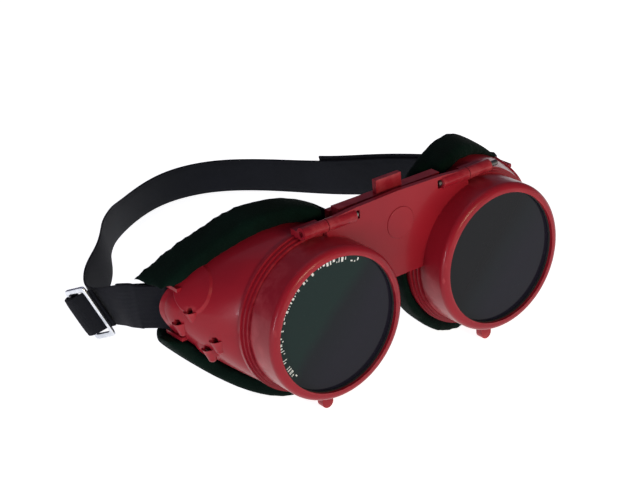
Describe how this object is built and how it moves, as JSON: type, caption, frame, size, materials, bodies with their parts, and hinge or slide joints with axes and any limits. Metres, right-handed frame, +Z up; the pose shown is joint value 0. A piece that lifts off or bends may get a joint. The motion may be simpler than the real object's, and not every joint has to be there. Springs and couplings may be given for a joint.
{
  "type": "welding goggles",
  "caption": "Round-lens welding goggles: two vented cups with cushions, a nose bridge, a hinged flip-up dark front and an elastic head strap with a slide buckle.",
  "frame": {"origin": "middle of the face seat: the plane that the rear of the cushions touches, on the symmetry plane of the cups and at the height of the lens centres", "axes": "+X towards the wearer's left, +Y from the lenses towards the wearer's face and on along the strap, +Z up"},
  "size_m": [0.1713, 0.1947, 0.0709],
  "materials": {
    "red_plastic": "moulded, semi-gloss red",
    "dark_glass": "polished, dark welding shade",
    "clear_glass": "polished, clear",
    "gasket": "matte black",
    "spring_steel": "plain spring steel",
    "pin_steel": "plain drawn steel",
    "cushion_cover": "soft matte cover, very dark green-black",
    "webbing": "woven elastic, blue-black",
    "buckle_steel": "bright plated steel",
    "baffle_plastic": "matte black"
  },
  "bodies": {
    "cups": {"clear_lens_right": "clear_glass", "clear_lens_gasket_right": "gasket", "clear_lens_retainer_right": "spring_steel", "hinge_pin_right": "pin_steel", "strap_bar_right": "pin_steel", "eyecup_right": "red_plastic", "face_cushion_right": "cushion_cover", "vent_baffle_right": "baffle_plastic", "nose_bridge_rivet_right": "pin_steel", "clear_lens_left": "clear_glass", "clear_lens_gasket_left": "gasket", "clear_lens_retainer_left": "spring_steel", "hinge_pin_left": "pin_steel", "strap_bar_left": "pin_steel", "eyecup_left": "red_plastic", "face_cushion_left": "cushion_cover", "vent_baffle_left": "baffle_plastic", "nose_bridge_rivet_left": "pin_steel", "nose_bridge": "red_plastic", "head_strap": "webbing", "strap_threaded_end": "webbing", "strap_buckle": "buckle_steel"},
    "front": {"dark_lens_right": "dark_glass", "dark_lens_gasket_right": "gasket", "dark_lens_retainer_right": "spring_steel", "dark_lens_left": "dark_glass", "dark_lens_gasket_left": "gasket", "dark_lens_retainer_left": "spring_steel", "flip_front": "red_plastic"}
  },
  "joints": [
    {"name": "front_flip", "type": "hinge", "parent": "cups", "child": "front", "pos_m": [0, -0.043, 0.0298], "axis": [-1, 0, 0], "range_deg": [0, 100]}
  ]
}
